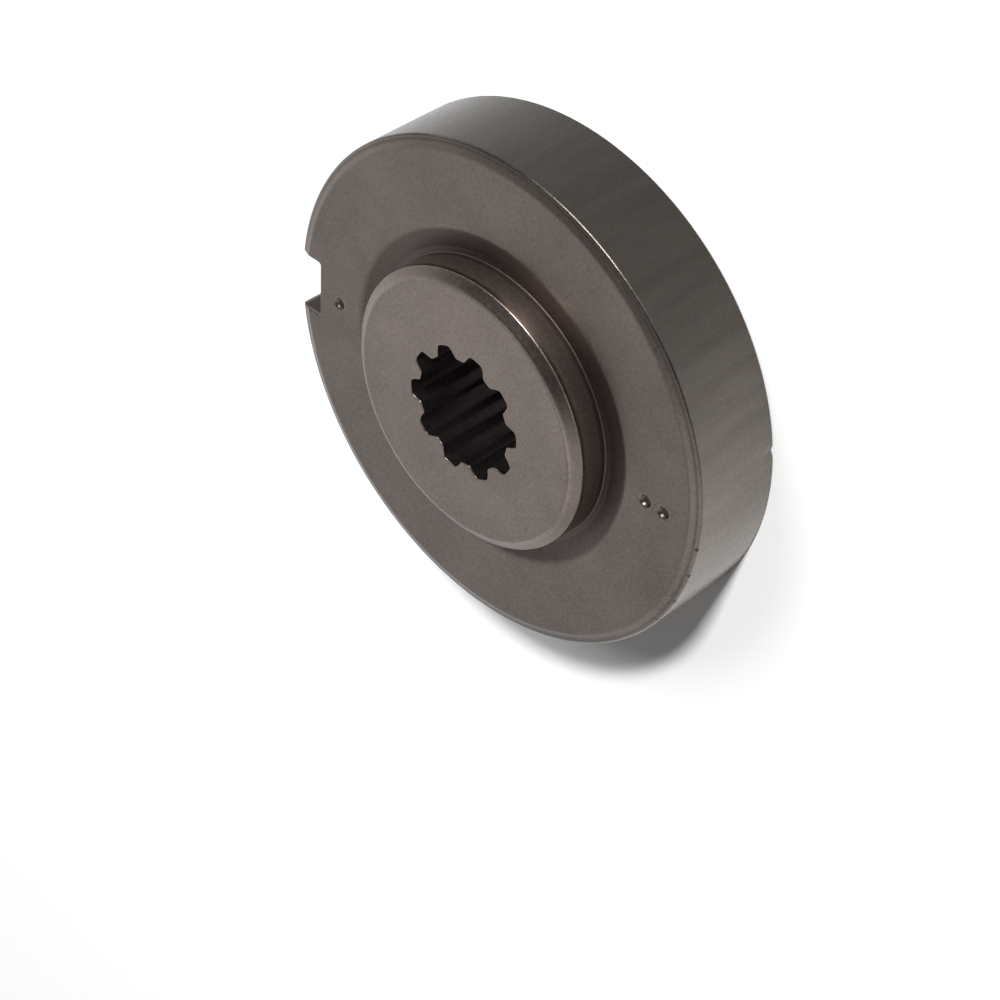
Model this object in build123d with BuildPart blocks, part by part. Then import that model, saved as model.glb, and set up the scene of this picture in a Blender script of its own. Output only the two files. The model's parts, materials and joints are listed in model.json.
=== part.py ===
from build123d import *

import os
from math import acos, cos, pi, radians, sin, tan

# Flange washer that drives and centres the cutting blade of a brush cutter, pressed and
# sintered from steel in one piece. It lies on its back face with the pilot boss up. Z is the
# bore axis, z = 0 is the back face, and a spline groove is centred on +X. Lengths are in
# millimetres and angles in degrees.

# Flange
flange_diameter = 45.5
flange_thickness = 8.9
rim_bevel_width = 1.0
rim_bevel_drop = 0.4
back_edge_break = 0.2

# Pilot boss that the blade's centre hole sits on
boss_diameter = 25.3
boss_height = 2.9
boss_bevel_width = 0.9
boss_bevel_drop = 0.65

# Relief that slopes down to the foot of the boss, so that the blade seats on the flange alone
relief_depth = 0.4
relief_slope_run = 1.9
relief_floor_width = 0.6
relief_foot_bevel = 0.3

# Involute spline in the bore, with a positive profile shift
spline_grooves = 10
spline_module = 1.0
spline_pressure_angle = 20
spline_shift = 0.8
spline_crest_share = 0.8
spline_root_share = 0.2
spline_root_radius = 0.15

# Notch in the rim for the rod that holds the washer still while the blade nut is turned
notch_angle = 137.5
notch_width = 5.5
notch_depth = 2.65
notch_corner_radius = 0.25

# Ring-shaped recess in the back, between the hub and the rim
hub_wall = 3.6
rim_wall = 4.8
recess_depth = 3.0
recess_draft = 10
recess_corner_radius = 0.8

# Derived sizes
flange_radius = flange_diameter / 2
boss_radius = boss_diameter / 2
front_height = flange_thickness + boss_height
relief_floor = flange_thickness - relief_depth
relief_floor_radius = boss_radius + relief_floor_width
relief_radius = relief_floor_radius + relief_slope_run

pitch_radius = spline_module * spline_grooves / 2
base_radius = pitch_radius * cos(radians(spline_pressure_angle))
crest_radius = pitch_radius + spline_module * (spline_shift - spline_crest_share)
root_radius = pitch_radius + spline_module * (spline_shift + spline_root_share)
groove_pitch = 2 * pi / spline_grooves

notch_floor_radius = flange_radius - notch_depth
notch_cut_length = 2 * notch_depth

hub_radius = root_radius + hub_wall
recess_radius = flange_radius - rim_wall
recess_wall_run = recess_depth * tan(radians(recess_draft))

# Corners of the recess in the half section, as radius and height
recess_hub_corner = (hub_radius + recess_wall_run, recess_depth)
recess_rim_corner = (recess_radius - recess_wall_run, recess_depth)


def involute(angle):
    """Involute function of an angle in radians."""
    return tan(angle) - angle


def groove_half_angle(radius):
    """Half the angle in radians that a groove spans at a radius, between its involute flanks."""
    pressure_angle = radians(spline_pressure_angle)
    at_pitch = (pi / 2 + 2 * spline_shift * tan(pressure_angle)) / spline_grooves
    at_radius = acos(min(1, base_radius / radius))
    return at_pitch + involute(pressure_angle) - involute(at_radius)


def polar(radius, angle):
    """Point of the bore's section at a radius and an angle in radians."""
    return (radius * cos(angle), radius * sin(angle))


def flank_point(radius, centre, side):
    """Point on the flank, side -1 or 1, of the groove centred on an angle in radians."""
    return polar(radius, centre + side * groove_half_angle(radius))


# Section of the splined bore: flank, root, flank and crest of each groove in turn
flank_radii = (crest_radius, (crest_radius + root_radius) / 2, root_radius)
with BuildSketch() as bore_section:
    with BuildLine():
        for groove in range(spline_grooves):
            centre = groove * groove_pitch
            rising = [flank_point(radius, centre, -1) for radius in flank_radii]
            falling = [flank_point(radius, centre, 1) for radius in reversed(flank_radii)]
            crest_middle = polar(crest_radius, centre + groove_pitch / 2)
            next_rise = flank_point(crest_radius, centre + groove_pitch, -1)
            ThreePointArc(*rising)
            ThreePointArc(rising[-1], polar(root_radius, centre), falling[0])
            ThreePointArc(*falling)
            ThreePointArc(falling[-1], crest_middle, next_rise)
    make_face()
    root_corners = bore_section.vertices().sort_by_distance((0, 0))[-2 * spline_grooves :]
    fillet(root_corners, spline_root_radius)

# Section of the rim notch, open past the rim
with BuildSketch() as notch_section:
    with PolarLocations(notch_floor_radius + notch_cut_length / 2, 1, start_angle=notch_angle):
        Rectangle(notch_cut_length, notch_width)
    floor_corners = notch_section.vertices().sort_by_distance((0, 0))[:2]
    fillet(floor_corners, notch_corner_radius)

# Flange washer
with BuildPart() as flange_washer:
    with BuildSketch(Plane.XZ) as half_section:
        with BuildLine():
            Polyline(
                (0, 0),
                (hub_radius, 0),
                recess_hub_corner,
                recess_rim_corner,
                (recess_radius, 0),
                (flange_radius - back_edge_break, 0),
                (flange_radius, back_edge_break),
                (flange_radius, flange_thickness - rim_bevel_drop),
                (flange_radius - rim_bevel_width, flange_thickness),
                (relief_radius, flange_thickness),
                (relief_floor_radius, relief_floor),
                (boss_radius + relief_foot_bevel, relief_floor),
                (boss_radius, relief_floor + relief_foot_bevel),
                (boss_radius, front_height - boss_bevel_drop),
                (boss_radius - boss_bevel_width, front_height),
                (0, front_height),
                close=True,
            )
        make_face()
        for corner in (recess_hub_corner, recess_rim_corner):
            fillet(half_section.vertices().sort_by_distance(corner)[0], recess_corner_radius)
    revolve(axis=Axis.Z)
    extrude(bore_section.sketch, amount=front_height, mode=Mode.SUBTRACT)
    extrude(notch_section.sketch, amount=flange_thickness, mode=Mode.SUBTRACT)

os.makedirs("parts", exist_ok=True)
flange_washer.part.label = "flange_washer"
export_step(flange_washer.part, "parts/flange_washer.step")
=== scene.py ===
"""Looks of a flange washer: its worn sintered steel skin, a pale floor, soft light and the camera.

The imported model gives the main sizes. Lengths in the classes are millimetres and angles are
degrees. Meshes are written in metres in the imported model's own frame, where z is the bore axis
and z = 0 is the back face that the washer lies on.
"""

import json
import logging
from dataclasses import dataclass, field
from enum import Enum
from typing import Any, Mapping, Optional, Sequence, Union

import bpy
import numpy as np
from mathutils import Matrix, Vector


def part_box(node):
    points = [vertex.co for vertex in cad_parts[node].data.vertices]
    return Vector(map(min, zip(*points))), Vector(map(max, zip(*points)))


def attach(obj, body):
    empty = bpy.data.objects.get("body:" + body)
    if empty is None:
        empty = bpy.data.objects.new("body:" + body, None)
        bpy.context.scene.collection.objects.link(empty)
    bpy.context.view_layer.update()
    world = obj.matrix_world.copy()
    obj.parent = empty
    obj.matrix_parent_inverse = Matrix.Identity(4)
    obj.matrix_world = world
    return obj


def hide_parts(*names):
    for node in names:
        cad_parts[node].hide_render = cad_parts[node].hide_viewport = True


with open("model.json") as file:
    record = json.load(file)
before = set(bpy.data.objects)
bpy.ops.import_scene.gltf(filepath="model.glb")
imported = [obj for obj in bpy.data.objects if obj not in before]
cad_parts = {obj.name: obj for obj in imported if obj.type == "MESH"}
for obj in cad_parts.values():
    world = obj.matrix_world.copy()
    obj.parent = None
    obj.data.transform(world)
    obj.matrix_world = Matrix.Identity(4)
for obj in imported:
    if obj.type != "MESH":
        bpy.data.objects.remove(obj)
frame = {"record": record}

Array = np.ndarray
Rgb = tuple[float, float, float]

MM = 0.001
NODE = "flange_washer"
BODY = "root"
SLOT = "sintered_steel"

log = logging.getLogger("flange_washer")


def linear(red: float, green: float, blue: float) -> Rgb:
    """Colour written as 0 to 255 on screen, as the linear numbers that a shader takes."""
    shown = np.array([red, green, blue]) / 255.0
    light = np.where(shown <= 0.04045, shown / 12.92, ((shown + 0.055) / 1.055) ** 2.4)
    return tuple(float(part) for part in light)


def smoothstep(low: float, high: float, value: Array) -> Array:
    """Cubic step 3 t^2 - 2 t^3 that rises from 0 at low to 1 at high."""
    t = np.clip((value - low) / (high - low), 0.0, 1.0)
    return t * t * (3.0 - 2.0 * t)


def polar(radius: Union[float, Array], angle: Union[float, Array]) -> Array:
    """Points x = r cos(a), y = r sin(a) of a radius and an angle in degrees."""
    turn = np.radians(angle)
    return np.stack([radius * np.cos(turn), radius * np.sin(turn)], axis=-1)


def corner_arc(start: Array, corner: Array, end: Array, steps: int) -> Array:
    """Circular arc that rounds a corner between two points at the same distance from it.

    The arc is the rational quadratic curve through start and end: start, corner and end are
    weighted by (1 - t)^2, 2 w t (1 - t) and t^2 and divided by the sum of the weights, where w
    is the sine of half the angle at the corner.

    Args:
        start: Point where the arc begins.
        corner: Sharp corner that is rounded off.
        end: Point where the arc ends.
        steps: Number of points, both ends included.

    Returns:
        The points of the arc, one per row.
    """
    before = (start - corner) / np.linalg.norm(start - corner)
    after = (end - corner) / np.linalg.norm(end - corner)
    weight = np.sqrt((1.0 - before @ after) / 2.0)
    t = np.linspace(0.0, 1.0, steps)[:, None]
    shares = ((1.0 - t) ** 2, 2.0 * weight * t * (1.0 - t), t**2)
    return (shares[0] * start + shares[1] * corner + shares[2] * end) / sum(shares)


def rounded_profile(
    corners: Array, rounds: Sequence[float], steps: int = 5, guard: float = 0.05
) -> Array:
    """Half section, as radius and height, with its inner corners rounded.

    Each inner corner becomes an arc that starts at its tangent length, radius over the tangent
    of half the angle. A guard point beyond each end keeps the shading of the flats flat. A
    corner with a radius of 0 stays one plain point.

    Args:
        corners: Corners of the section in order, one per row.
        rounds: Radius at each inner corner.
        steps: Points on each arc.
        guard: Distance of the guard points from the ends of an arc.

    Returns:
        The points of the section, one per row.
    """
    points = [corners[:1]]
    for before, corner, after, radius in zip(corners[:-2], corners[1:-1], corners[2:], rounds):
        if radius == 0.0:
            points.append(corner[None])
            continue
        back = (before - corner) / np.linalg.norm(before - corner)
        ahead = (after - corner) / np.linalg.norm(after - corner)
        half = np.arccos(np.clip(back @ ahead, -1.0, 1.0)) / 2.0
        length = radius / np.tan(half)
        points.append((corner + back * (length + guard))[None])
        points.append(corner_arc(corner + back * length, corner, corner + ahead * length, steps))
        points.append((corner + ahead * (length + guard))[None])
    points.append(corners[-1:])
    return np.concatenate(points)


class Signal:
    """One number of a shader graph, wrapped so that Python expressions add its Math nodes."""

    def __init__(self, graph: "ShaderGraph", socket: bpy.types.NodeSocket) -> None:
        """Wraps an output socket of the graph."""
        self.graph = graph
        self.socket = socket

    def math(self, operation: str, *values: "Operand") -> "Signal":
        """Result of one Math node on these values."""
        node = self.graph.node("ShaderNodeMath", {"operation": operation}, dict(enumerate(values)))
        return Signal(self.graph, node.outputs[0])

    def __add__(self, other: "Operand") -> "Signal":
        """Sum of two numbers."""
        return self.math("ADD", self, other)

    def __radd__(self, other: "Operand") -> "Signal":
        """Sum with the plain number first."""
        return self.math("ADD", other, self)

    def __sub__(self, other: "Operand") -> "Signal":
        """Difference of two numbers."""
        return self.math("SUBTRACT", self, other)

    def __rsub__(self, other: "Operand") -> "Signal":
        """Difference with the plain number first."""
        return self.math("SUBTRACT", other, self)

    def __mul__(self, other: "Operand") -> "Signal":
        """Product of two numbers."""
        return self.math("MULTIPLY", self, other)

    def __rmul__(self, other: "Operand") -> "Signal":
        """Product with the plain number first."""
        return self.math("MULTIPLY", other, self)

    def __truediv__(self, other: "Operand") -> "Signal":
        """Quotient of two numbers."""
        return self.math("DIVIDE", self, other)

    def __pow__(self, other: "Operand") -> "Signal":
        """Power of a number."""
        return self.math("POWER", self, other)

    def root(self) -> "Signal":
        """Square root."""
        return self.math("SQRT", self)

    def most(self, other: "Operand") -> "Signal":
        """Greater of two numbers."""
        return self.math("MAXIMUM", self, other)

    def step(self, low: float, high: float) -> "Signal":
        """Smooth step from 0 at low to 1 at high, or from 1 down to 0 where high is less."""
        settings = {"interpolation_type": "SMOOTHSTEP"}
        rising = low < high
        first, last = (0.0, 1.0) if rising else (1.0, 0.0)
        ends = {1: min(low, high), 2: max(low, high), 3: first, 4: last}
        node = self.graph.node("ShaderNodeMapRange", settings, {0: self, **ends})
        return Signal(self.graph, node.outputs[0])


Operand = Union[Signal, float, int]


class ShaderGraph:
    """Node tree of a material or a world, with one way to add a node."""

    def __init__(self, tree: bpy.types.NodeTree) -> None:
        """Takes a tree and empties it."""
        self.tree = tree
        tree.nodes.clear()

    def node(
        self,
        kind: str,
        settings: Optional[Mapping[str, Any]] = None,
        values: Optional[Mapping[Any, Any]] = None,
    ) -> bpy.types.Node:
        """Adds one node.

        Args:
            kind: Type name of the node.
            settings: Its own properties, set first.
            values: Input sockets, by name or number, with a number, a colour, a socket or a Signal.

        Returns:
            The node.
        """
        made = self.tree.nodes.new(kind)
        for name, value in (settings or {}).items():
            setattr(made, name, value)
        for key, value in (values or {}).items():
            source = value.socket if isinstance(value, Signal) else value
            if isinstance(source, bpy.types.NodeSocket):
                self.tree.links.new(source, made.inputs[key])
            else:
                made.inputs[key].default_value = source
        return made

    def noise(
        self, place: bpy.types.NodeSocket, scale: float, detail: float = 3.0, rough: float = 0.55
    ) -> Signal:
        """Noise from 0 to 1 with its middle at 0.5, with `scale` features to a unit of place."""
        values = {"Vector": place, "Scale": scale, "Detail": detail, "Roughness": rough}
        return Signal(self, self.node("ShaderNodeTexNoise", {}, values).outputs[0])

    def along(self, place: bpy.types.NodeSocket, direction: Rgb) -> Signal:
        """How far a place lies along a direction: their dot product."""
        node = self.node("ShaderNodeVectorMath", {"operation": "DOT_PRODUCT"}, {0: place, 1: direction})
        return Signal(self, node.outputs["Value"])

    def apart(self, place: bpy.types.NodeSocket, point: Rgb) -> Signal:
        """Distance of a place from a point."""
        node = self.node("ShaderNodeVectorMath", {"operation": "DISTANCE"}, {0: place, 1: point})
        return Signal(self, node.outputs["Value"])

    def mix(self, first: Any, second: Any, share: Operand) -> bpy.types.NodeSocket:
        """Colour that goes from first to second as share goes from 0 to 1."""
        colours = [(*c, 1.0) if isinstance(c, tuple) else c for c in (first, second)]
        values = {0: share, 6: colours[0], 7: colours[1]}
        return self.node("ShaderNodeMix", {"data_type": "RGBA"}, values).outputs[2]

    def scaled(self, colour: bpy.types.NodeSocket, factor: Signal) -> bpy.types.NodeSocket:
        """Colour times a number."""
        values = {0: colour, "Scale": factor}
        return self.node("ShaderNodeVectorMath", {"operation": "SCALE"}, values).outputs[0]

    def stretched(self, place: bpy.types.NodeSocket, factors: Rgb) -> bpy.types.NodeSocket:
        """Place with each axis times its own factor."""
        values = {0: place, 1: factors}
        return self.node("ShaderNodeVectorMath", {"operation": "MULTIPLY"}, values).outputs[0]


@dataclass
class SplineBore:
    """Involute spline of the bore, with rounded corners and softened mouths."""

    grooves: int = 10
    module: float = 1.0
    pressure_angle: float = 20.0
    shift: float = 0.8
    crest_share: float = 0.8
    root_share: float = 0.2
    root_round: float = 0.2
    crest_round: float = 0.24
    mouth_round: float = 0.1

    @property
    def pitch_radius(self) -> float:
        """Radius of the pitch circle."""
        return self.module * self.grooves / 2.0

    @property
    def crest_radius(self) -> float:
        """Radius of the crests between the grooves."""
        return self.pitch_radius + self.module * (self.shift - self.crest_share)

    @property
    def root_radius(self) -> float:
        """Radius of the groove floors."""
        return self.pitch_radius + self.module * (self.shift + self.root_share)

    def slant(self, radius: Union[float, Array]) -> Array:
        """Angle in radians between a flank and the radial line: arccos(base radius / radius)."""
        base = self.pitch_radius * np.cos(np.radians(self.pressure_angle))
        return np.arccos(np.minimum(1.0, base / np.asarray(radius)))

    def half_angle(self, radius: Union[float, Array]) -> Array:
        """Half the angle in degrees that a groove spans at a radius.

        It is the half angle at the pitch circle plus inv(pressure angle) - inv(slant), where
        inv(a) = tan(a) - a is the involute function.
        """
        pressure = np.radians(self.pressure_angle)
        slant = self.slant(radius)
        at_pitch = (np.pi / 2.0 + 2.0 * self.shift * np.tan(pressure)) / self.grooves
        return np.degrees(at_pitch + (np.tan(pressure) - pressure) - (np.tan(slant) - slant))

    def half_groove(self) -> Array:
        """Outline from the middle of a groove to the middle of a crest: root, corner, flank, corner, crest.

        Returns:
            The points, with x along the middle of the groove.
        """
        root, crest = self.root_radius, self.crest_radius
        low = root - self.root_round * float(np.cos(self.slant(root)))
        high = crest + self.crest_round * float(np.cos(self.slant(crest)))
        flank_radii = np.linspace(low, high, 6)
        flank = polar(flank_radii, self.half_angle(flank_radii))
        root_end = float(self.half_angle(root) - np.degrees(self.root_round / root))
        crest_start = float(self.half_angle(crest) + np.degrees(self.crest_round / crest))
        root_arc = polar(root, np.linspace(0.0, root_end, 4))
        crest_arc = polar(crest, np.linspace(crest_start, 180.0 / self.grooves, 4))
        root_corner = corner_arc(root_arc[-1], polar(root, self.half_angle(root)), flank[0], 5)
        crest_corner = corner_arc(flank[-1], polar(crest, self.half_angle(crest)), crest_arc[0], 5)
        return np.concatenate([root_arc[:-1], root_corner, flank[1:-1], crest_corner, crest_arc[1:]])

    def table(self) -> tuple[Array, Array]:
        """Outline over the whole turn.

        The angle grows all along the outline, so the radius is a function of the angle.

        Returns:
            Angles in degrees from 0 to 360, and the radius at each.
        """
        half = self.half_groove()
        radius = np.hypot(half[:, 0], half[:, 1])
        angle = np.degrees(np.arctan2(half[:, 1], half[:, 0]))
        pitch = 360.0 / self.grooves
        one_angle = np.concatenate([angle[:-1], pitch - angle[:0:-1]])
        one_radius = np.concatenate([radius[:-1], radius[:0:-1]])
        angles = (np.arange(self.grooves)[:, None] * pitch + one_angle).ravel()
        return angles, np.tile(one_radius, self.grooves)

    def outline(self, angles: Array, offset: float) -> Array:
        """Outline at these angles, moved into the metal by an offset along its own normal.

        Args:
            angles: Angles of the columns in degrees.
            offset: Distance that the outline is moved.

        Returns:
            The points of the outline, one per column.
        """
        known, radius = self.table()
        points = polar(radius, known)
        along = np.roll(points, -1, axis=0) - np.roll(points, 1, axis=0)
        normal = np.stack([along[:, 1], -along[:, 0]], axis=-1)
        normal /= np.linalg.norm(normal, axis=1, keepdims=True)
        moved = polar(np.interp(angles, known, radius, period=360.0), angles)
        facing = [np.interp(angles, known, normal[:, axis], period=360.0) for axis in (0, 1)]
        return moved + offset * np.stack(facing, axis=-1)


@dataclass
class RimNotch:
    """Straight notch in the rim for the locking rod, as the part of the rim's outline that it replaces.

    The columns of the washer's grid bend into the notch. The spans are the angles, from the
    notch's middle, between which its floor, corner, side and mouth lie on the inner circles.
    """

    angle: float
    width: float = 5.5
    floor: float = 20.1
    corner_round: float = 0.25
    mouth_round: float = 0.12
    edge_round: float = 0.1
    floor_span: float = 6.3
    corner_span: float = 7.9
    side_span: float = 8.9
    mouth_span: float = 9.3
    spread: float = 15.0

    def columns(self) -> Array:
        """Angles of the columns that the notch needs, in degrees."""
        half = np.concatenate(
            [
                np.linspace(0.0, self.floor_span, 6),
                np.linspace(self.floor_span, self.corner_span, 7)[1:],
                np.linspace(self.corner_span, self.side_span, 3)[1:],
                np.linspace(self.side_span, self.mouth_span, 5)[1:],
                np.linspace(self.mouth_span, self.spread, 8)[1:],
            ]
        )
        return (self.angle + np.concatenate([-half[::-1], half])) % 360.0

    def outline(self, angles: Array, radius: float, inset: float) -> Array:
        """Outline of a section of the rim, notch included.

        Beyond the mouth it is the circle of that radius. Inside it follows the side, the corner
        arc and the floor, whose places come from the column's angle by linear interpolation.

        Args:
            angles: Angles of the columns in degrees.
            radius: Radius of the rim in this section.
            inset: Distance that the notch is widened by, at its rounded edges.

        Returns:
            The points of the outline, one per column.
        """
        offset = (angles - self.angle + 180.0) % 360.0 - 180.0
        reach = np.abs(offset)
        half = self.width / 2.0 + inset
        floor = self.floor - inset
        bend = self.corner_round + inset
        edge = np.array([np.sqrt(radius**2 - half**2), half])
        mouth_angle = float(np.degrees(np.arcsin(half / radius) + self.mouth_round / radius))
        corner = corner_arc(
            np.array([floor, half - bend]), np.array([floor, half]), np.array([floor + bend, half]), 7
        )
        mouth = corner_arc(edge - np.array([self.mouth_round, 0.0]), edge, polar(radius, mouth_angle), 5)
        path = np.concatenate([np.array([[floor, 0.0]]), corner, mouth])
        spans = np.concatenate(
            [
                np.zeros(1),
                np.linspace(self.floor_span, self.corner_span, 7),
                np.linspace(self.side_span, self.mouth_span, 5),
            ]
        )
        on_path = np.stack([np.interp(reach, spans, path[:, axis]) for axis in (0, 1)], axis=-1)
        turned = np.interp(reach, [self.mouth_span, self.spread, 180.0], [mouth_angle, self.spread, 180.0])
        on_rim = polar(radius, turned)
        local = np.where((reach > self.mouth_span)[:, None], on_rim, on_path)
        local[:, 1] *= np.sign(offset)
        turn = np.radians(self.angle)
        across = np.array([-np.sin(turn), np.cos(turn)])
        along = np.array([np.cos(turn), np.sin(turn)])
        return local[:, :1] * along + local[:, 1:] * across

    def inset(self, height: float, top: float) -> float:
        """How far the notch's edges are rounded back at a height: a quarter circle at each face."""
        near = max(0.0, self.edge_round - min(height, top - height))
        return self.edge_round - float(np.sqrt(max(0.0, self.edge_round**2 - near**2)))


@dataclass(frozen=True)
class PunchMark:
    """Round punched dimple in the seat."""

    radius: float
    angle: float
    size: float = 0.62
    depth: float = 0.3

    def sink(self, points: Array) -> Array:
        """Depth at points of the seat: flat floor, then a smooth wall from 0.55 to 1 of its size."""
        away = np.linalg.norm(points - polar(self.radius, self.angle), axis=-1)
        return self.depth * smoothstep(self.size, 0.55 * self.size, away)

    def columns(self) -> Array:
        """Angles of the columns that resolve the dimple."""
        reach = np.degrees(1.25 * self.size / self.radius)
        return (self.angle + np.linspace(-reach, reach, 17)) % 360.0


@dataclass(frozen=True)
class Nick:
    """Small chip out of an edge of the rim."""

    angle: float
    height: float
    length: float
    depth: float
    spread: float = 0.3

    def bite(self, angles: Array, heights: Array, radius: float) -> Array:
        """Depth of the chip: a bell across its length times a bell across its height."""
        along = np.radians((angles - self.angle + 180.0) % 360.0 - 180.0) * radius
        across = heights - self.height
        return self.depth * np.exp(-((along / self.length) ** 2) - (across / self.spread) ** 2)

    def place(self, radius: float) -> Rgb:
        """Middle of the chip on the rim."""
        x, y = polar(radius, self.angle)
        return float(x), float(y), self.height

    def columns(self, radius: float) -> Array:
        """Angles of the columns that resolve the chip."""
        reach = np.degrees(2.0 * self.length / radius)
        return (self.angle + np.linspace(-reach, reach, 9)) % 360.0


@dataclass(frozen=True)
class Regions:
    """Shares from 0 to 1 that say how far a place lies on each part of the washer."""

    boss: Signal
    bevel: Signal
    wall: Signal
    rim: Signal
    rim_bevel: Signal
    relief: Signal
    hollow: Signal
    bore: Signal

    @classmethod
    def of(cls, washer: "FlangeWasher", radius: Signal, z: Signal, toward_painted_side: Signal) -> "Regions":
        """Finds the parts from the radius and the height.

        Args:
            washer: The washer, whose sizes say where its parts lie.
            radius: Distance from the bore axis.
            z: Height.
            toward_painted_side: Cosine of the angle to the side that the painted light and shade follow,
                from -1 to 1.

        Returns:
            The shares.
        """
        above_back = z.step(washer.seat - 1.5, washer.seat - 1.0)
        bevel = (
            radius.step(washer.boss_face_radius + 0.1, washer.boss_face_radius + 0.5)
            * radius.step(washer.boss_radius + 0.2, washer.boss_radius + 0.1)
            * above_back
        )
        relief = (
            radius.step(washer.relief_radius + 0.1, washer.relief_radius - 0.5)
            * radius.step(washer.boss_radius - 0.3, washer.boss_radius - 0.05)
            * z.step(washer.seat + 0.2, washer.seat - 0.1)
            * above_back
        )
        # Hollows below the seat inside the rim: notch, punch marks and back recess, which get painted
        # shade.
        hollow = (
            radius.step(washer.relief_radius + 0.3, washer.relief_radius + 0.5)
            * radius.step(washer.flange_radius - 0.2, washer.flange_radius - 0.4)
            * z.step(washer.rim_edge + 0.25, washer.rim_edge + 0.05)
            * z.step(0.02, 0.2)
        )
        root = washer.spline.root_radius
        outer = washer.flange_radius
        return cls(
            boss=z.step(washer.boss_edge - 0.05, washer.boss_edge + 0.1),
            bevel=bevel,
            wall=bevel * z.step(washer.boss_edge - 0.2, washer.boss_edge - 0.5),
            rim=radius.step(outer - 0.16, outer - 0.04),
            # Only the rim bevel on the side away from the painted side: it gets painted shade.
            rim_bevel=radius.step(outer - 0.95, outer - 0.6) * toward_painted_side.step(-0.5, -0.95),
            relief=relief,
            hollow=hollow,
            bore=radius.step(root + 0.06, root - 0.02) * z.step(washer.top - 0.05, washer.top - 0.5),
        )


@dataclass(frozen=True)
class Grain:
    """Noises of the metal: coarse clouds, fine mottle and grain, and pores."""

    cloud: Signal
    mottle: Signal
    grain: Signal
    pores: Signal


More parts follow.
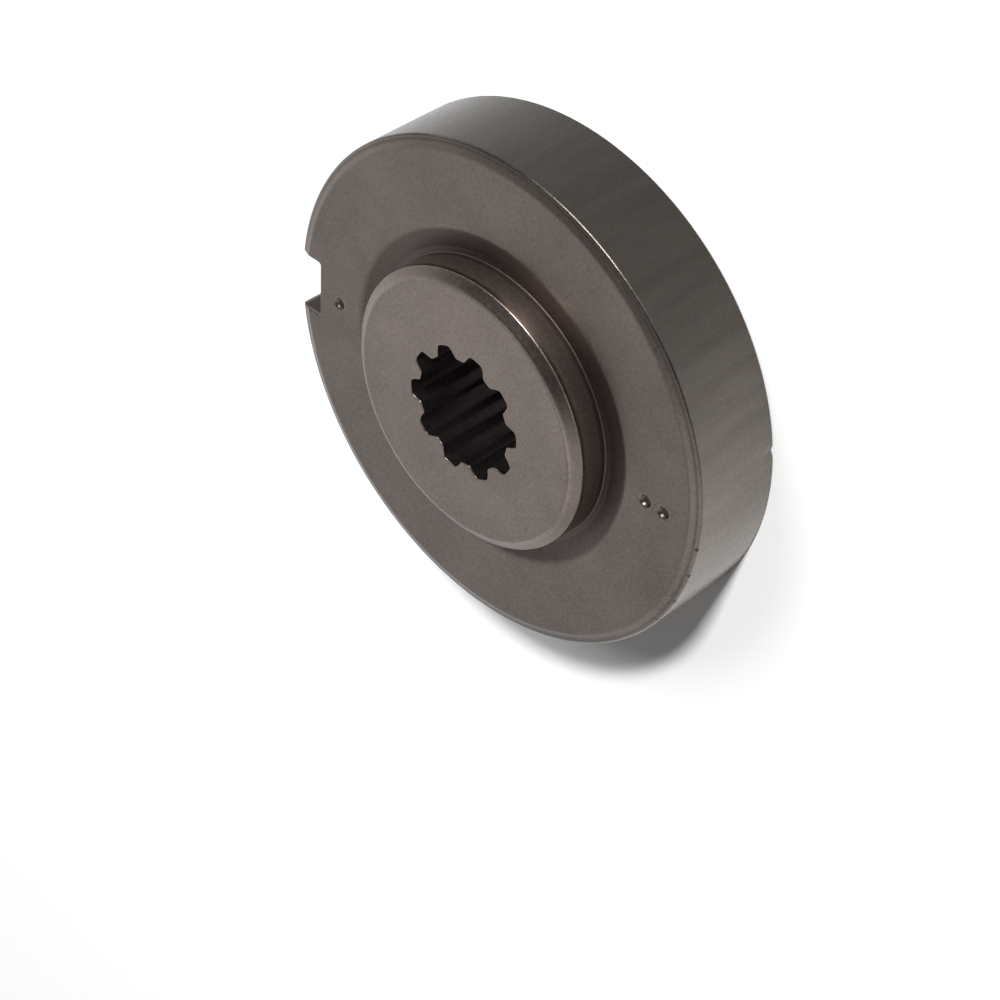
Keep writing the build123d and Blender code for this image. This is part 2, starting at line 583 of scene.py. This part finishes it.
@dataclass(frozen=True)
class SinteredSteel:
    """Bare pressed and sintered steel: warm grey, satin, mottled, with pores and handling wear, and painted
    light and shade in its tones.

    Noise scales are features to a millimetre.
    """

    seat_tone: Rgb = linear(109, 101, 96)
    boss_tone: Rgb = linear(125, 115, 110)
    # The rim's two tones are painted shade and painted light: dark towards the painted side, light away
    # from it.
    rim_painted_shade_tone: Rgb = linear(67, 63, 59)
    rim_painted_light_tone: Rgb = linear(130, 123, 117)
    bevel_tone: Rgb = linear(116, 105, 99)
    # Painted shade on the rim bevel, on the side away from the painted side.
    rim_bevel_painted_shade_tone: Rgb = linear(58, 54, 51)
    # Darker and browner in the relief round the boss: partly the metal's own tone, partly painted shade of
    # the recess.
    relief_tone: Rgb = linear(90, 81, 77)
    # Painted shade in the hollows: notch, punch marks and back recess.
    hollow_tone: Rgb = linear(70, 62, 58)
    # Paler than the rest of the metal: painted light in the bore, which lifts its dark inside.
    bore_painted_light_tone: Rgb = linear(146, 136, 138)
    pore_tone: Rgb = linear(70, 62, 58)
    # Bright edges: partly real handling wear, partly painted highlight along the edges.
    worn_highlight_tone: Rgb = linear(158, 149, 142)
    seat_roughness: float = 0.31
    rim_roughness: float = 0.28
    relief_roughness: float = 0.5
    grain_height: float = 0.006
    cloud_scale: float = 0.16
    mottle_scale: float = 3.4
    grain_scale: float = 8.0
    pore_scale: float = 4.2
    streak_scale: float = 0.7
    streak_stretch: Rgb = (1.0, 1.0, 0.1)
    # Side that the painted light and shade follow: the rim is darker towards it, the faces are lighter.
    painted_shading_side: Rgb = (0.743, 0.669, 0.0)
    chip_share: float = 0.75
    pore_share: float = 0.35

    def build(self, washer: "FlangeWasher") -> bpy.types.Material:
        """Makes the material.

        The tone follows the place on the washer, from its radius and height: seat, ground boss
        face, turned rim, relief round the boss and bore. The rim, rim bevel, relief, hollows and
        bore carry painted light and shade, and the faces get painted light on one side. Clouds,
        fine mottle, pores and bright edges, partly wear and partly painted highlight, go over it.

        Args:
            washer: The washer, whose sizes say where each tone lies.

        Returns:
            The material.
        """
        material = bpy.data.materials.new(SLOT)
        material.use_nodes = True
        graph = ShaderGraph(material.node_tree)
        object_place = graph.node("ShaderNodeTexCoord").outputs["Object"]
        to_mm = 1.0 / MM
        place = graph.stretched(object_place, (to_mm, to_mm, to_mm))
        parts = graph.node("ShaderNodeSeparateXYZ", {}, {0: place})
        x, y, z = (Signal(graph, parts.outputs[axis]) for axis in range(3))
        radius = (x * x + y * y).root()
        # Cosine of the angle to the side that the painted light and shade follow.
        toward_painted_side = graph.along(place, self.painted_shading_side) / radius
        regions = Regions.of(washer, radius, z, toward_painted_side)
        grain = Grain(
            cloud=graph.noise(place, self.cloud_scale, 3.0),
            mottle=graph.noise(place, self.mottle_scale, 4.0, 0.65),
            grain=graph.noise(place, self.grain_scale, 3.0, 0.6),
            pores=graph.noise(place, self.pore_scale, 2.0).step(0.64, 0.76),
        )
        worn_and_highlight = self.edge_wear_and_highlight(washer, radius, z, grain)
        tone = self.tone(graph, washer, place, toward_painted_side, regions, grain, worn_and_highlight)

        matte = regions.relief.most(regions.hollow).most(regions.wall)
        roughness = self.seat_roughness + (self.rim_roughness - self.seat_roughness) * regions.rim
        roughness = roughness + (self.relief_roughness - self.seat_roughness) * matte
        roughness = roughness + 0.16 * (grain.mottle - 0.5) + 0.1 * grain.pores
        height = (grain.grain + 0.7 * grain.mottle - 0.8 * grain.pores) * (1.0 - 0.9 * regions.rim)
        relief = {"Strength": 0.5, "Distance": self.grain_height * MM, "Height": height}
        bump = graph.node("ShaderNodeBump", {}, relief)
        shader = graph.node(
            "ShaderNodeBsdfPrincipled",
            {},
            {"Base Color": tone, "Metallic": 1.0, "Roughness": roughness, "Normal": bump.outputs[0]},
        )
        graph.node("ShaderNodeOutputMaterial", {}, {"Surface": shader.outputs[0]})
        return material

    def tone(
        self,
        graph: ShaderGraph,
        washer: "FlangeWasher",
        place: bpy.types.NodeSocket,
        toward_painted_side: Signal,
        regions: Regions,
        grain: Grain,
        worn_and_highlight: Signal,
    ) -> bpy.types.NodeSocket:
        """Colour of the metal: the tone of each part with its painted light and shade, bright edges, chips
        and pores, then mottle and streaks.

        Args:
            graph: The graph that the nodes go to.
            washer: The washer, whose chips are darkened.
            place: Place on the washer in millimetres.
            toward_painted_side: Cosine of the angle to the side that the painted light and shade follow,
                from -1 to 1.
            regions: Shares of the parts.
            grain: Noises of the metal.
            worn_and_highlight: Share of bright metal on the edges, partly wear and partly painted
                highlight.

        Returns:
            The colour's socket.
        """
        # Painted shade on the rim towards the painted side, painted light away from it.
        rim_tone = graph.mix(self.rim_painted_light_tone, self.rim_painted_shade_tone, toward_painted_side.step(-0.15, 0.95))
        layers = (
            (self.boss_tone, regions.boss),
            (self.bevel_tone, regions.bevel),
            (self.rim_bevel_painted_shade_tone, regions.rim_bevel),
            (rim_tone, regions.rim),
            (self.relief_tone, regions.relief),
            (self.hollow_tone, regions.hollow),
            (self.bore_painted_light_tone, regions.bore),
            (self.worn_highlight_tone, worn_and_highlight),
        )
        tone: Any = self.seat_tone
        for colour, share in layers:
            tone = graph.mix(tone, colour, share)
        for nick in washer.nicks:
            chipped = graph.apart(place, nick.place(washer.flange_radius - 0.06)).step(0.26, 0.1)
            tone = graph.mix(tone, self.pore_tone, chipped * self.chip_share)
        tone = graph.mix(tone, self.pore_tone, grain.pores * self.pore_share)
        streak = graph.noise(graph.stretched(place, self.streak_stretch), self.streak_scale, 3.0)
        coarse = grain.cloud + (streak - grain.cloud) * regions.rim
        fine = (grain.mottle - 0.5 + grain.grain - 0.5) * (1.0 - 0.6 * regions.rim)
        # Painted light on the faces towards the painted side, painted shade away from it.
        painted_side_shading = 0.1 * toward_painted_side * (1.0 - regions.rim)
        return graph.scaled(tone, 0.75 + 0.5 * coarse + 0.75 * fine + painted_side_shading)

    def edge_wear_and_highlight(self, washer: "FlangeWasher", radius: Signal, z: Signal, grain: Grain) -> Signal:
        """Share of bright metal along the edges: partly wear that handling rubs bare, partly painted
        highlight.

        Args:
            washer: The washer, whose sizes say where its edges lie.
            radius: Distance from the bore axis.
            z: Height.
            grain: Noises of the metal. The clouds break the wear up and the fine grain frays it.

        Returns:
            A number from 0 to 1.
        """
        edges = (
            (washer.flange_radius, washer.rim_edge),
            (washer.boss_radius, washer.boss_edge),
            (washer.boss_face_radius, washer.top),
        )
        worn_and_highlight: Optional[Signal] = None
        for edge_radius, edge_height in edges:
            away = ((radius - edge_radius) ** 2.0 + (z - edge_height) ** 2.0).root()
            near = away.step(0.12, 0.03)
            worn_and_highlight = near if worn_and_highlight is None else worn_and_highlight.most(near)
        return worn_and_highlight * (0.1 + 0.8 * grain.cloud.step(0.42, 0.62)) * (0.4 + grain.grain) * 0.6


@dataclass
class FlangeWasher:
    """The washer's skin, as one closed grid of rings by columns.

    The rings run up the bore, out over the boss, relief and seat, down the rim, and back in over
    the rim land, recess and hub to the bore's lower mouth. Each column keeps its angle on the
    inner circles and bends into the spline and the notch where they are.
    """

    flange_radius: float
    boss_radius: float
    seat: float
    top: float
    notch: RimNotch
    spline: SplineBore = field(default_factory=SplineBore)
    rim_bevel: tuple[float, float] = (1.0, 0.4)
    boss_bevel: tuple[float, float] = (0.9, 0.65)
    back_break: float = 0.2
    relief_depth: float = 0.4
    relief_slope_run: float = 1.9
    relief_floor_width: float = 0.6
    foot_round: float = 0.12
    hub_wall: float = 3.6
    rim_wall: float = 4.8
    recess_depth: float = 3.0
    recess_draft: float = 10.0
    recess_round: float = 0.8
    edge_round: float = 0.14
    rim_edge_round: float = 0.24
    soft_round: float = 0.7
    relief_edge_round: float = 2.0
    back_edge_round: float = 0.08
    plain_radius: float = 18.6
    seat_circles: int = 22
    seat_blends: int = 20
    marks: tuple[PunchMark, ...] = (
        PunchMark(17.7, 138.0),
        PunchMark(17.3, 317.2),
        PunchMark(19.2, 317.2),
    )
    nicks: tuple[Nick, ...] = (
        Nick(312.5, 8.5, 0.16, 0.12, 0.07),
        Nick(304.8, 8.52, 0.16, 0.12, 0.07),
        Nick(295.7, 8.55, 0.16, 0.12, 0.07),
        Nick(287.3, 8.62, 0.16, 0.12, 0.07),
        Nick(326.2, 0.1, 0.35, 0.25),
    )
    finish: SinteredSteel = field(default_factory=SinteredSteel)

    @classmethod
    def from_frame(cls, record: Mapping[str, Any]) -> "FlangeWasher":
        """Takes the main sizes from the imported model.

        Args:
            record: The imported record, whose mounts give the boss, the seat and the notch.

        Returns:
            The washer.
        """
        mounts = {mount["name"]: mount for mount in record["mounts"]}
        low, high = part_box(NODE)
        axis = mounts["lock_notch"]["axis"]
        return cls(
            flange_radius=round((high.x - low.x) / 2.0 / MM, 2),
            boss_radius=mounts["pilot_boss"]["dims"]["r_mm"],
            seat=mounts["blade_seat"]["pos_m"][2] / MM,
            top=round(high.z / MM, 3),
            notch=RimNotch(angle=float(np.degrees(np.arctan2(axis[1], axis[0])))),
        )

    @property
    def rim_edge(self) -> float:
        """Height of the sharp edge between the rim and its bevel."""
        return self.seat - self.rim_bevel[1]

    @property
    def boss_edge(self) -> float:
        """Height of the edge between the boss wall and its bevel."""
        return self.top - self.boss_bevel[1]

    @property
    def boss_face_radius(self) -> float:
        """Radius of the flat face of the boss."""
        return self.boss_radius - self.boss_bevel[0]

    @property
    def relief_radius(self) -> float:
        """Radius of the relief's outer edge."""
        return self.boss_radius + self.relief_floor_width + self.relief_slope_run

    def columns(self) -> Array:
        """Angles of all columns, in degrees: the spline's, the notch's, the marks' and the nicks'."""
        parts = [self.spline.table()[0], self.notch.columns()]
        parts += [mark.columns() for mark in self.marks]
        parts += [nick.columns(self.flange_radius) for nick in self.nicks]
        angles = np.unique(np.round(np.concatenate(parts) % 360.0, 4))
        apart = np.diff(angles, prepend=angles[-1] - 360.0) > 0.02
        return angles[apart]

    def bore_rings(self, angles: Array) -> Array:
        """Bore wall from bottom to top and the rounding of its upper mouth.

        The rounding is a quarter circle: the outline moves out by e (1 - cos t) while it rises
        by e sin t.
        """
        mouth = self.spline.mouth_round
        low, high = mouth, self.top - mouth
        wall = self.spline.outline(angles, 0.0)
        middle = np.linspace(0.8, self.top - 0.8, 7)
        heights = np.concatenate([[low, low + 0.05], middle, [high - 0.05, high]])
        straight = [self.level(wall, height) for height in heights]
        turn = np.radians(np.linspace(0.0, 90.0, 5)[1:])
        rounding = [
            self.level(self.spline.outline(angles, mouth * (1.0 - np.cos(t))), high + mouth * np.sin(t))
            for t in turn
        ]
        return np.stack(straight + rounding)

    def boss_rings(self, angles: Array) -> Array:
        """Boss face, from the bore's mouth to a circle, then bevel, wall, foot and relief, turned."""
        mouth = self.spline.outline(angles, self.spline.mouth_round)
        inner = self.spline.root_radius + 1.4
        face = self.blend(mouth, polar(inner, angles), np.array([0.03, 0.1, 0.25, 0.5, 0.75]), self.top)
        floor = self.seat - self.relief_depth
        section = rounded_profile(
            np.array(
                [
                    (inner, self.top),
                    (self.boss_face_radius, self.top),
                    (self.boss_radius, self.boss_edge),
                    (self.boss_radius, floor),
                    (self.boss_radius + self.relief_floor_width, floor),
                    (self.relief_radius, self.seat),
                    (self.relief_radius + 0.5, self.seat),
                ]
            ),
            [self.soft_round, self.edge_round, self.foot_round, self.soft_round, self.relief_edge_round],
        )
        return np.concatenate([face, self.turned(section, angles)])

    def seat_rings(self, angles: Array) -> Array:
        """Seat, from plain circles to the outline of its outer edge, with the punch marks sunk in."""
        start = self.relief_radius + 0.9
        radii = np.linspace(start, self.plain_radius, self.seat_circles)
        circles = [self.level(polar(r, angles), self.seat) for r in radii]
        guard = 0.06
        edge_radius = self.flange_radius - self.rim_bevel[0] - 0.4
        edge = self.notch.outline(angles, edge_radius, self.notch.edge_round + guard)
        shares = np.linspace(0.0, 1.0, self.seat_blends)[1:]
        outer = self.blend(polar(self.plain_radius, angles), edge, shares, self.seat)
        rings = np.concatenate([np.stack(circles), outer])
        for mark in self.marks:
            rings[..., 2] -= mark.sink(rings[..., :2])
        return rings

    def rim_rings(self, angles: Array) -> Array:
        """Rim bevel, wall and back edge, a horizontal section at a time, with the nicks bitten out."""
        outer, bevel_drop = self.flange_radius, self.rim_bevel[1]
        inner = outer - self.rim_bevel[0]
        shares = np.array([0.2, 0.32, 0.45, 0.6, 0.8])
        on_bevel = np.stack([inner + shares * self.rim_bevel[0], self.seat - shares * bevel_drop], axis=-1)
        on_wall = np.stack([np.full(6, outer), np.linspace(self.rim_edge - 0.7, 1.2, 6)], axis=-1)
        corners = np.concatenate(
            [
                [(inner - 0.3, self.seat), (inner, self.seat)],
                on_bevel,
                [(outer, self.rim_edge)],
                on_wall,
                [(outer, self.back_break), (outer - self.back_break, 0.0), (outer - 0.6, 0.0)],
            ]
        )
        rounds = [self.soft_round] + [0.0] * len(on_bevel) + [self.rim_edge_round]
        rounds += [0.0] * len(on_wall) + [self.back_edge_round] * 2
        section = rounded_profile(corners, rounds, guard=0.03)
        rings = np.stack(
            [
                self.level(self.notch.outline(angles, r, self.notch.inset(z, self.seat)), z)
                for r, z in section
            ]
        )
        bite = sum(nick.bite(angles, rings[..., 2], outer) for nick in self.nicks)
        rings[..., :2] *= (1.0 - bite / outer)[..., None]
        return rings

    def back_rings(self, angles: Array) -> Array:
        """Rim land, ring-shaped recess and hub face, then the rounding of the bore's lower mouth."""
        edge = self.notch.outline(angles, self.flange_radius - 0.7, self.notch.edge_round + 0.06)
        land = self.blend(edge, polar(self.plain_radius, angles), np.array([0.0, 0.3, 0.65, 1.0]), 0.0)
        recess_radius = self.flange_radius - self.rim_wall
        hub_radius = self.spline.root_radius + self.hub_wall
        run = self.recess_depth * np.tan(np.radians(self.recess_draft))
        section = rounded_profile(
            np.array(
                [
                    (recess_radius + 0.4, 0.0),
                    (recess_radius, 0.0),
                    (recess_radius - run, self.recess_depth),
                    (hub_radius + run, self.recess_depth),
                    (hub_radius, 0.0),
                    (hub_radius - 0.5, 0.0),
                ]
            ),
            [self.edge_round, self.recess_round, self.recess_round, self.edge_round],
            steps=7,
        )
        mouth = self.spline.mouth_round
        lower = self.spline.outline(angles, mouth)
        hub = self.blend(polar(hub_radius - 0.5, angles), lower, np.array([0.3, 0.6, 0.85, 0.97, 1.0]), 0.0)
        turn = np.radians(np.linspace(90.0, 0.0, 5)[1:-1])
        rounding = [
            self.level(self.spline.outline(angles, mouth * (1.0 - np.cos(t))), mouth * (1.0 - np.sin(t)))
            for t in turn
        ]
        return np.concatenate([land, self.turned(section, angles), hub, np.stack(rounding)])

    @staticmethod
    def level(outline: Array, height: float) -> Array:
        """Ring of an outline at one height."""
        return np.concatenate([outline, np.full((len(outline), 1), height)], axis=1)

    @staticmethod
    def blend(first: Array, second: Array, shares: Array, height: float) -> Array:
        """Rings between two outlines at one height: (1 - s) first + s second for each share s."""
        s = shares[:, None, None]
        flat = (1.0 - s) * first + s * second
        return np.concatenate([flat, np.full((*flat.shape[:2], 1), height)], axis=2)

    @staticmethod
    def turned(section: Array, angles: Array) -> Array:
        """Rings of a half section carried round the bore axis: (r cos a, r sin a, z)."""
        flat = polar(section[:, :1], angles[None, :])
        heights = np.broadcast_to(section[:, 1][:, None, None], (*flat.shape[:2], 1))
        return np.concatenate([flat, heights], axis=2)

    def build(self) -> bpy.types.Object:
        """Builds the grid's mesh, closed in both directions, and dresses it.

        Returns:
            The piece, at the origin with its place in its mesh.
        """
        angles = self.columns()
        rings = np.concatenate(
            [
                self.bore_rings(angles),
                self.boss_rings(angles),
                self.seat_rings(angles),
                self.rim_rings(angles),
                self.back_rings(angles),
            ]
        )
        count, width = rings.shape[:2]
        index = np.arange(count * width).reshape(count, width)
        onward, around = np.roll(index, -1, axis=0), np.roll(index, -1, axis=1)
        both = np.roll(onward, -1, axis=1)
        faces = np.stack([index, onward, both, around], axis=-1).reshape(-1, 4)
        piece = grid_mesh("washer_skin", rings.reshape(-1, 3) * MM, faces)
        piece.data.materials.append(self.finish.build(self))
        log.info("washer_skin: %d rings by %d columns, %d triangles", count, width, 2 * len(faces))
        return piece


def grid_mesh(name: str, points: Array, faces: Array) -> bpy.types.Object:
    """Makes a smooth shaded object from points and four-sided faces.

    Args:
        name: Name of the object and its mesh.
        points: Corners in metres, one per row.
        faces: Numbers of the four corners of each face.

    Returns:
        The object, linked to the scene.
    """
    mesh = bpy.data.meshes.new(name)
    mesh.from_pydata(points.tolist(), [], faces.tolist())
    mesh.polygons.foreach_set("use_smooth", np.ones(len(faces), bool))
    mesh.update()
    piece = bpy.data.objects.new(name, mesh)
    bpy.context.scene.collection.objects.link(piece)
    return piece


@dataclass(frozen=True)
class Softbox:
    """Square area lamp: direction to it, distance and size in mm, watts, and whether metal mirrors it."""

    direction: Rgb
    distance: float
    size: float
    watts: float
    mirrored: bool = False


class Lamp(Enum):
    """Lamps of the studio."""

    KEY = Softbox((0.709, 0.410, 0.574), 2200.0, 235.0, 64.0)
    SOFT = Softbox((0.150, 0.751, 0.643), 1200.0, 700.0, 7.6)
    GLINT = Softbox((0.642, 0.546, 0.540), 600.0, 200.0, 3.2, mirrored=True)


@dataclass
class Studio:
    """Pale floor, soft light and the camera."""

    floor_reach: float = 4000.0
    floor_tone: Rgb = (0.93, 0.93, 0.93)
    dim: float = 0.16
    horizon: float = 0.60
    zenith: float = 0.07
    window: float = 0.54
    window_side: Rgb = (-0.84, -0.15, 0.52)
    panel: float = 0.85
    panel_side: Rgb = (-0.08, -0.62, 0.78)
    camera_place: tuple[float, float, float] = (178.5, 20.9, 135.3)
    camera_right: tuple[float, float, float] = (0.5545, -0.4484, -0.7010)
    camera_up: tuple[float, float, float] = (0.1607, 0.8843, -0.4385)
    lens: float = 97.2
    sensor: float = 36.0

    def build_floor(self) -> bpy.types.Object:
        """Flat floor at the height of the back face, a square grid of four faces."""
        side = np.linspace(-self.floor_reach, self.floor_reach, 3)
        x, y = np.meshgrid(side, side)
        points = np.stack([x, y, np.zeros_like(x)], axis=-1).reshape(-1, 3) * MM
        index = np.arange(9).reshape(3, 3)
        corners = [index[:-1, :-1], index[:-1, 1:], index[1:, 1:], index[1:, :-1]]
        faces = np.stack(corners, axis=-1).reshape(-1, 4)
        floor = grid_mesh("floor", points, faces)
        material = bpy.data.materials.new("pale_floor")
        material.use_nodes = True
        graph = ShaderGraph(material.node_tree)
        shader = graph.node("ShaderNodeBsdfDiffuse", {}, {"Color": (*self.floor_tone, 1.0)})
        graph.node("ShaderNodeOutputMaterial", {}, {"Surface": shader.outputs[0]})
        floor.data.materials.append(material)
        return floor

    def build_world(self) -> bpy.types.World:
        """Dim light all round, and the room that metal mirrors: pale low down, with two bright sides."""
        world = bpy.data.worlds.new("studio")
        world.use_nodes = True
        graph = ShaderGraph(world.node_tree)
        direction = graph.node("ShaderNodeTexCoord").outputs["Generated"]
        parts = graph.node("ShaderNodeSeparateXYZ", {}, {0: direction})
        low = Signal(graph, parts.outputs[2]).step(0.85, 0.3)
        near_window = graph.along(direction, self.window_side).step(0.45, 0.82)
        near_panel = graph.along(direction, self.panel_side).step(0.86, 0.98)
        room = self.zenith + (self.horizon - self.zenith) * low
        room = room + self.window * near_window + self.panel * near_panel
        path = graph.node("ShaderNodeLightPath")
        rays = ("Is Camera Ray", "Is Glossy Ray", "Is Transmission Ray")
        seen, mirrored, through = (Signal(graph, path.outputs[ray]) for ray in rays)
        strength = self.dim + (room - self.dim) * (seen + mirrored + through)
        white = (1.0, 1.0, 1.0, 1.0)
        shader = graph.node("ShaderNodeBackground", {}, {"Color": white, "Strength": strength})
        graph.node("ShaderNodeOutputWorld", {}, {"Surface": shader.outputs[0]})
        bpy.context.scene.world = world
        return world

    def build_lamp(self, lamp: Lamp) -> bpy.types.Object:
        """Square area lamp that faces the washer."""
        box = lamp.value
        light = bpy.data.lights.new(lamp.name.lower(), "AREA")
        light.size = box.size * MM
        light.energy = box.watts
        place = bpy.data.objects.new(light.name, light)
        aim = Vector(box.direction).normalized()
        place.location = aim * box.distance * MM
        place.rotation_euler = aim.to_track_quat("Z", "Y").to_euler()
        place.visible_camera = False
        place.visible_glossy = box.mirrored
        place.visible_diffuse = not box.mirrored
        bpy.context.scene.collection.objects.link(place)
        return place

    def build_camera(self) -> bpy.types.Object:
        """Camera at the photograph's angle, roll included."""
        data = bpy.data.cameras.new("camera")
        data.lens, data.sensor_width = self.lens, self.sensor
        data.clip_start, data.clip_end = 0.005, 20.0
        camera = bpy.data.objects.new("camera", data)
        right = Vector(self.camera_right).normalized()
        back = right.cross(Vector(self.camera_up)).normalized()
        turn = Matrix((right, back.cross(right), back)).transposed().to_4x4()
        camera.matrix_world = Matrix.Translation(Vector(self.camera_place) * MM) @ turn
        bpy.context.scene.collection.objects.link(camera)
        bpy.context.scene.camera = camera
        return camera

    def build(self) -> None:
        """Sets up the floor, the surroundings, the lamps and the camera."""
        bpy.context.scene.view_settings.view_transform = "Standard"
        self.build_floor()
        self.build_world()
        for lamp in Lamp:
            self.build_lamp(lamp)
        self.build_camera()
        log.info("studio: floor, surroundings, %d lamps and camera", len(Lamp))


def main() -> None:
    """Builds the washer's skin and the studio."""
    logging.basicConfig(level=logging.INFO, format="%(name)s: %(message)s")
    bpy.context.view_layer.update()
    washer = FlangeWasher.from_frame(frame["record"])
    skin = washer.build()
    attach(skin, BODY)
    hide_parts(NODE)
    Studio().build()


if __name__ == "__main__":
    main()
